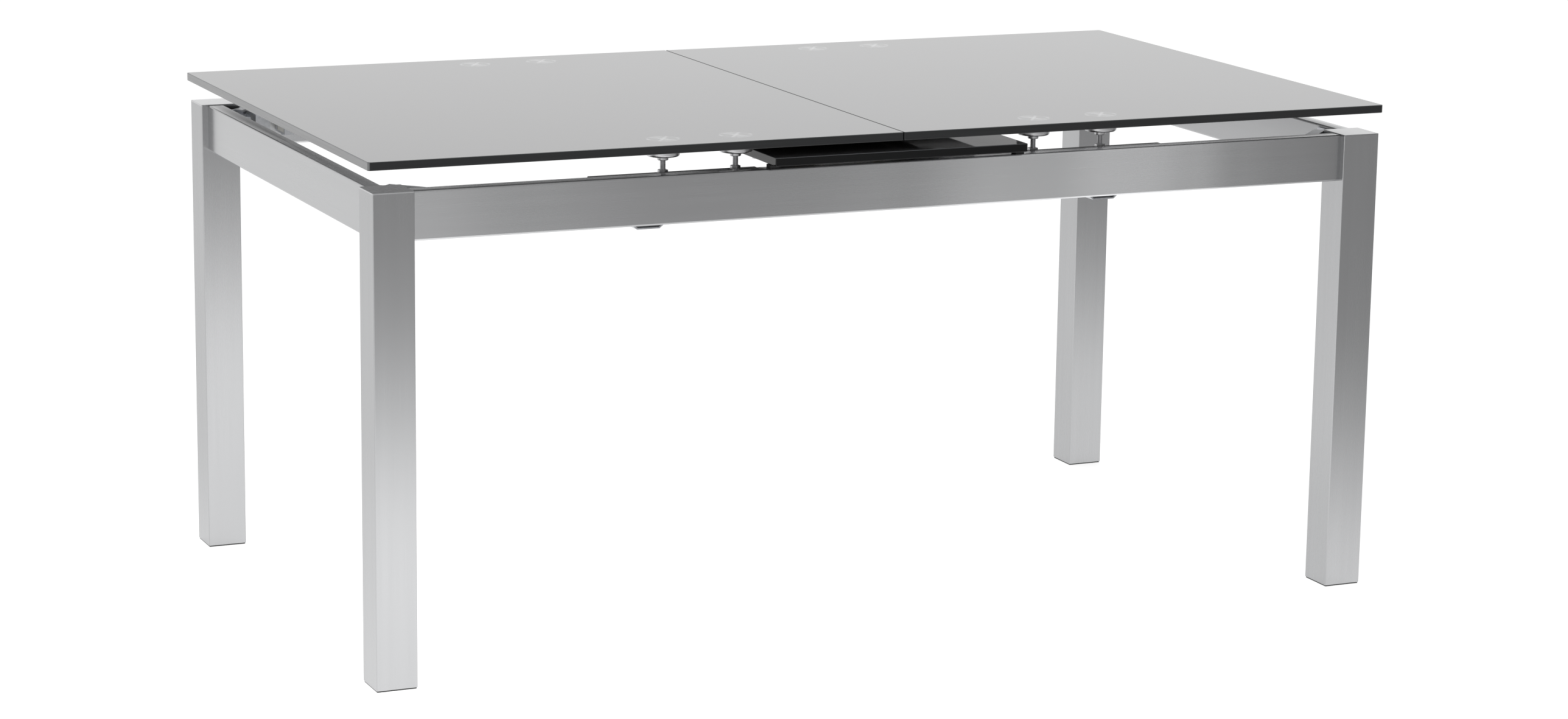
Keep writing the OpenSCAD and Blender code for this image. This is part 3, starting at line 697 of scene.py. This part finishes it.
class TABLE_OT_standoffs(bpy.types.Operator):
    """Builds the stand-offs: bonded discs, threaded studs and jam nuts"""

    bl_idname = "table.standoffs"
    bl_label = "Stand-offs"

    @staticmethod
    def foot(low, high):
        """The middle of a solid's underside, as a place for a shape made on Z."""
        return Matrix.Translation(((low.x + high.x) / 2, (low.y + high.y) / 2, low.z))

    def disc_outline(self, radius, height, own):
        boss = own.boss_radius
        step = height - own.disc_height
        rim, chamfer, flare, ease = 3 * MM, 0.8 * MM, 1.5 * MM, 0.4 * MM
        arc = [(radius - rim + rim * math.sin(a), step + rim - rim * math.cos(a))
               for a in (math.radians(d) for d in range(0, 91, 15))]
        return [(0, 0), (boss - chamfer, 0), (boss, chamfer), (boss, step - flare),
                (boss + flare, step), *arc, (radius, height - ease),
                (radius - ease, height), (0, height)]

    def thread_outline(self, radius, height, own):
        pitch = own.thread_pitch
        root = radius - 0.4 * pitch
        turns = int(height / pitch)
        crests = [(r, i * pitch + h * pitch) for i in range(turns)
                  for r, h in ((root, 0.0), (radius, 0.42), (radius, 0.58))]
        return [(0, 0), *crests, (root, turns * pitch), (root, height), (0, height)]

    def execute(self, context):
        own = context.scene.table_piece
        for side in SIDES:
            body = f"{side}_half"
            discs, studs, nuts = bmesh.new(), bmesh.new(), bmesh.new()
            for low, high in islands(f"glass_discs_{side}"):
                outline = self.disc_outline((high.x - low.x) / 2, high.z - low.z, own)
                lathe(discs, outline, self.foot(low, high), 64)
            for low, high in islands(f"studs_{side}"):
                outline = self.thread_outline((high.x - low.x) / 2, high.z - low.z, own)
                lathe(studs, outline, self.foot(low, high), 24)
            for low, high in islands(f"jam_nuts_{side}"):
                across = min(high.x - low.x, high.y - low.y)
                hexagon(nuts, across, high.z - low.z, self.foot(low, high), 0.6 * MM)
            for name, bm, limit in (("glass_discs", discs, 40.0), ("studs", studs, 20.0),
                                    ("jam_nuts", nuts, 25.0)):
                finish_piece(f"{name}_{side}_turned", bm, body,
                             ("turned_steel",), [f"{name}_{side}"], limit)
        return {"FINISHED"}


class TABLE_OT_brace_bolts(bpy.types.Operator):
    """Builds the flanged bolts that hold the corner braces"""

    bl_idname = "table.brace_bolts"
    bl_label = "Brace bolts"

    def execute(self, context):
        bm = bmesh.new()
        for low, high in islands("brace_bolts"):
            size = high - low
            axis = Y if size.y > size.x else X
            outward = Vector((0, 0, 0))
            centre = (low + high) / 2
            outward[axis] = math.copysign(1.0, centre[axis])
            flange = size.z / 2
            length = size[axis]
            shank = flange / 2.2
            across = 3.34 * shank
            head = 1.3 * shank
            seat = head + 1.5 * MM
            ease, point = 0.5 * MM, 0.6 * MM
            place = along(outward, centre - outward * length / 2)
            hexagon(bm, across, head, place, ease)
            lathe(bm, [(0, head), (flange * 0.9, head), (flange, head + ease),
                       (flange, seat), (shank, seat), (shank, length - point),
                       (shank - point, length), (0, length)], place, 32)
        finish_piece("brace_bolts_flanged", bm, "frame",
                     ("zinc_plate",), ["brace_bolts"], 25.0)
        return {"FINISHED"}


class TABLE_OT_rest_pads(bpy.types.Operator):
    """Builds the moulded pads that the stored leaf rests on"""

    bl_idname = "table.rest_pads"
    bl_label = "Rest pads"

    def execute(self, context):
        bm = bmesh.new()
        for low, high in islands("leaf_rest_pads"):
            faces = block(bm, low, high)
            round_edges(bm, edges_along(faces, Z), 1.5 * MM, 4)
        round_edges(bm, rim_edges(bm, Z, (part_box("leaf_rest_pads")[1].z,)), 0.8 * MM, 3)
        finish_piece("leaf_rest_pads_moulded", bm, "frame", ("rubber",),
                     ["leaf_rest_pads"], 40.0)
        return {"FINISHED"}


# ---- stage -----------------------------------------------------------------

# Brightness of the softboxes and gaps in front: (slant from left to right, tone)
SOFTBOXES = ((0.0, 0.6), (0.5, 0.55), (0.66, 0.62), (0.71, 0.30), (0.74, 0.32), (0.77, 1.10),
             (0.81, 0.20), (1.0, 0.30))
# Direction on the floor, towards the front right, in which its painted glow fades
FADE_RIGHT, FADE_FORWARD = 0.63, 0.777
# Size and softness of the painted pool of light on the floor near the legs
POOL_RADIUS, POOL_SOFT = 1.3, 0.9


class TABLE_OT_stage(bpy.types.Operator):
    """Sets the camera, the pale floor and the soft lamps"""

    bl_idname = "table.stage"
    bl_label = "Stage"

    def camera(self, scene, own):
        data = bpy.data.cameras.new("camera")
        data.lens = own.lens
        data.sensor_width = 36.0
        data.clip_end = 200.0
        camera = bpy.data.objects.new("camera", data)
        scene.collection.objects.link(camera)
        turn = Matrix.Rotation(-own.camera_turn, 4, "Z")
        dip = Matrix.Rotation(math.pi / 2 - own.camera_dip, 4, "X")
        roll = Matrix.Rotation(own.camera_roll, 4, "Z")
        camera.matrix_world = Matrix.Translation(own.camera_place) @ turn @ dip @ roll
        scene.camera = camera

    def lamp(self, scene, name, place, aim, size, power):
        data = bpy.data.lights.new(name, "AREA")
        data.shape = "RECTANGLE"
        data.size, data.size_y = size
        data.energy = power
        lamp = bpy.data.objects.new(name, data)
        lamp.location = place
        lamp.rotation_mode = "QUATERNION"
        lamp.rotation_quaternion = (Vector(aim) - Vector(place)).to_track_quat("-Z", "Y")
        scene.collection.objects.link(lamp)

    def surround(self, scene, own):
        """White behind the table, with soft dark gaps between the front softboxes."""
        world = bpy.data.worlds.new("studio")
        world.use_nodes = True
        r = Recipe(world.node_tree)
        x, y, z = r.split(r.add("ShaderNodeTexCoord", output="Generated"))
        in_front = y.below(0.0, 0.25)
        overhead = 1 - z.below(0.45, 0.35)
        slant = x / (abs(y) + 0.001)
        bands = r.ramp(slant * 0.5 + 0.5, SOFTBOXES)
        tone = r.mix(in_front, (own.behind,) * 3 + (1.0,), bands)
        tone = r.mix(overhead, tone, (own.overhead,) * 3 + (1.0,))
        back = world.node_tree.nodes["Background"]
        r.feed(back.inputs["Color"], tone)
        back.inputs["Strength"].default_value = own.sky
        scene.world = world

    def floor(self, scene, own):
        """A pale floor that glows with painted light, brightest in a pool near the legs and
        fading towards the front right, past the view.
        """
        r = Finish("studio_floor")
        cloud = r.noise(0.8, EVENLY, 3.0)
        x, y, _ = r.split(r.place)
        reach = FADE_RIGHT * x - FADE_FORWARD * y
        lit = reach.below(own.fade_start, own.fade_width)
        aside, ahead = x - own.pool_place[0], y - own.pool_place[1]
        pool = ((aside * aside + ahead * ahead) ** 0.5).below(POOL_RADIUS, POOL_SOFT)
        # The floor's emission: painted light, brightest in the pool near the legs
        glow = own.floor_far + lit * (own.floor_back + own.floor_pool * pool)
        r.shade(base_color=r.mix(cloud, (0.30, 0.30, 0.30, 1), (0.31, 0.31, 0.31, 1)),
                roughness=0.8 + 0.1 * cloud,
                emission_color=r.mix(glow * 0.5, NO_LIGHT, WHITE),
                emission_strength=2.0)
        bm = bmesh.new()
        bmesh.ops.create_grid(bm, x_segments=8, y_segments=8, size=own.floor_size / 2)
        mesh = bpy.data.meshes.new("studio_floor")
        bm.to_mesh(mesh)
        bm.free()
        mesh.materials.append(r.material)
        floor = bpy.data.objects.new("studio_floor", mesh)
        floor.location.z = -0.3 * MM
        scene.collection.objects.link(floor)

    def execute(self, context):
        scene = context.scene
        own = scene.table_stage
        scene.view_settings.view_transform = "Standard"
        self.camera(scene, own)
        self.surround(scene, own)
        self.floor(scene, own)
        self.lamp(scene, "top_softbox", (0.3, 1.2, 3.6), (0.1, 0.2, 0), (3.0, 2.4), 60.0)
        return {"FINISHED"}


class TABLE_PT_sidebar(bpy.types.Panel):
    """Lists the steps that build the table's looks"""

    bl_idname = "TABLE_PT_sidebar"
    bl_label = "Dining table"
    bl_space_type = "VIEW_3D"
    bl_region_type = "UI"
    bl_category = "Table"

    def draw(self, context):
        for group in ("table_stage", "table_finish", "table_piece"):
            settings = getattr(context.scene, group)
            for name in settings.__annotations__:
                self.layout.prop(settings, name)
        for operator in OPERATORS:
            self.layout.operator(operator.bl_idname)


SETTINGS = {"table_stage": TableStageSettings, "table_finish": TableFinishSettings,
            "table_piece": TablePieceSettings}
OPERATORS = (TABLE_OT_stage, TABLE_OT_finishes, TABLE_OT_glass, TABLE_OT_legs,
             TABLE_OT_aprons, TABLE_OT_standoffs, TABLE_OT_brace_bolts, TABLE_OT_rest_pads)


def register():
    for kind in (*SETTINGS.values(), *OPERATORS, TABLE_PT_sidebar):
        bpy.utils.register_class(kind)
    for name, kind in SETTINGS.items():
        setattr(bpy.types.Scene, name, bpy.props.PointerProperty(type=kind))


def unregister():
    for name in SETTINGS:
        delattr(bpy.types.Scene, name)
    for kind in reversed((*SETTINGS.values(), *OPERATORS, TABLE_PT_sidebar)):
        bpy.utils.unregister_class(kind)


def main():
    register()
    for operator in OPERATORS:
        group, call = operator.bl_idname.split(".")
        getattr(getattr(bpy.ops, group), call)()


if __name__ == "__main__":
    main()
